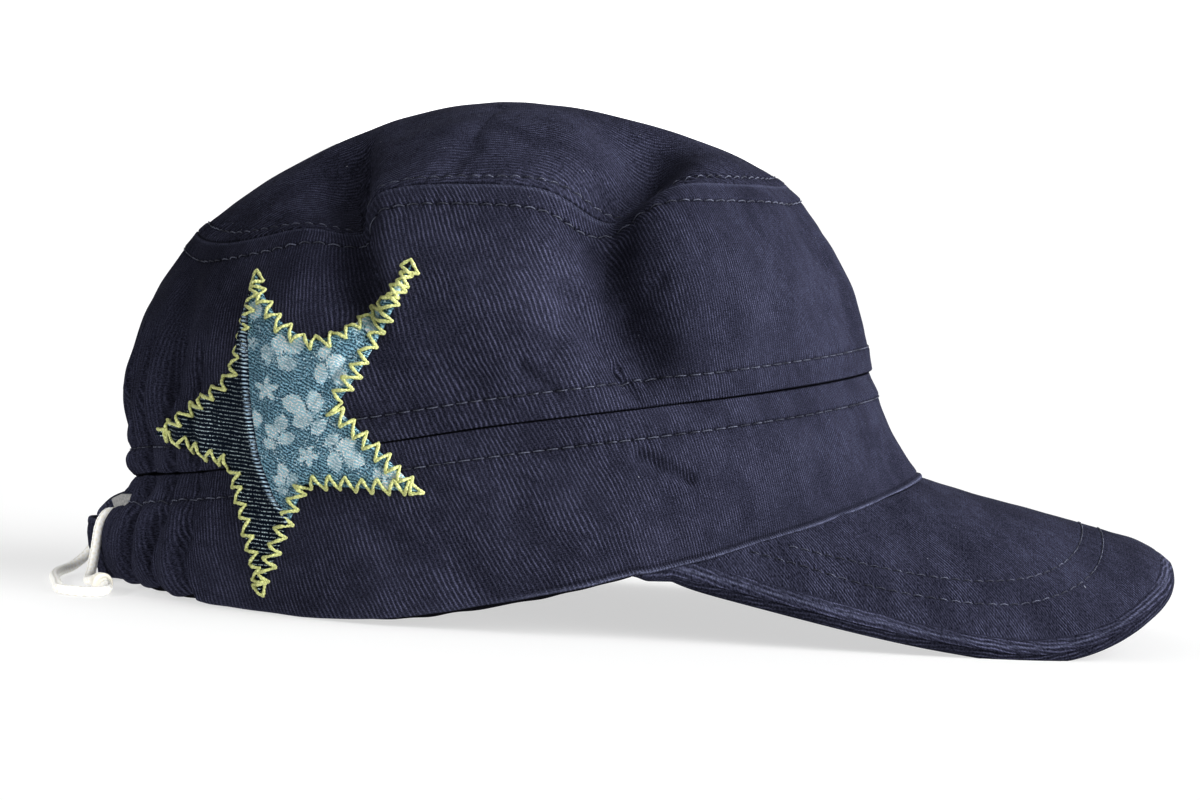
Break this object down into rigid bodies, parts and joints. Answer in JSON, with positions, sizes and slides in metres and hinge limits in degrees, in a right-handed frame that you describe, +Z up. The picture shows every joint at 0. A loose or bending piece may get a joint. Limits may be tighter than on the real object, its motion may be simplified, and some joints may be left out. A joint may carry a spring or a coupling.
{
  "type": "cadet cap",
  "caption": "Soft cadet cap with a curved visor, panelled crown, two-cloth star patch on the right side and a drawcord with a clasp at the gathered back.",
  "frame": {"origin": "on the surface the cap rests on, below the middle of the cap's box, drawcord left out", "axes": "+X to the front, along the visor; +Z up; -Y is the wearer's right side, which carries the star"},
  "size_m": [0.287, 0.1534, 0.1284],
  "materials": {
    "navy_twill": "washed cotton twill with fine ribs",
    "sweatband_cotton": "plain black cotton",
    "floral_cotton": "teal jersey with pale leaves and blossoms",
    "denim": "raw dark denim with pale weft",
    "grey_tape": "smooth woven tape",
    "braided_cord": "braided ivory cotton",
    "clasp_plastic": "ivory, slightly glossy"
  },
  "bodies": {
    "root": {"crown_band": "navy_twill", "crown_side": "navy_twill", "crown_top": "navy_twill", "visor": "navy_twill", "sweatband": "sweatband_cotton", "star_floral": "floral_cotton", "star_denim": "denim", "back_strap": "navy_twill", "back_flap": "navy_twill", "cord_keeper": "grey_tape", "drawcord_upper": "braided_cord", "drawcord_lower": "braided_cord", "clasp_socket": "clasp_plastic", "clasp_plug": "clasp_plastic"}
  },
  "joints": []
}
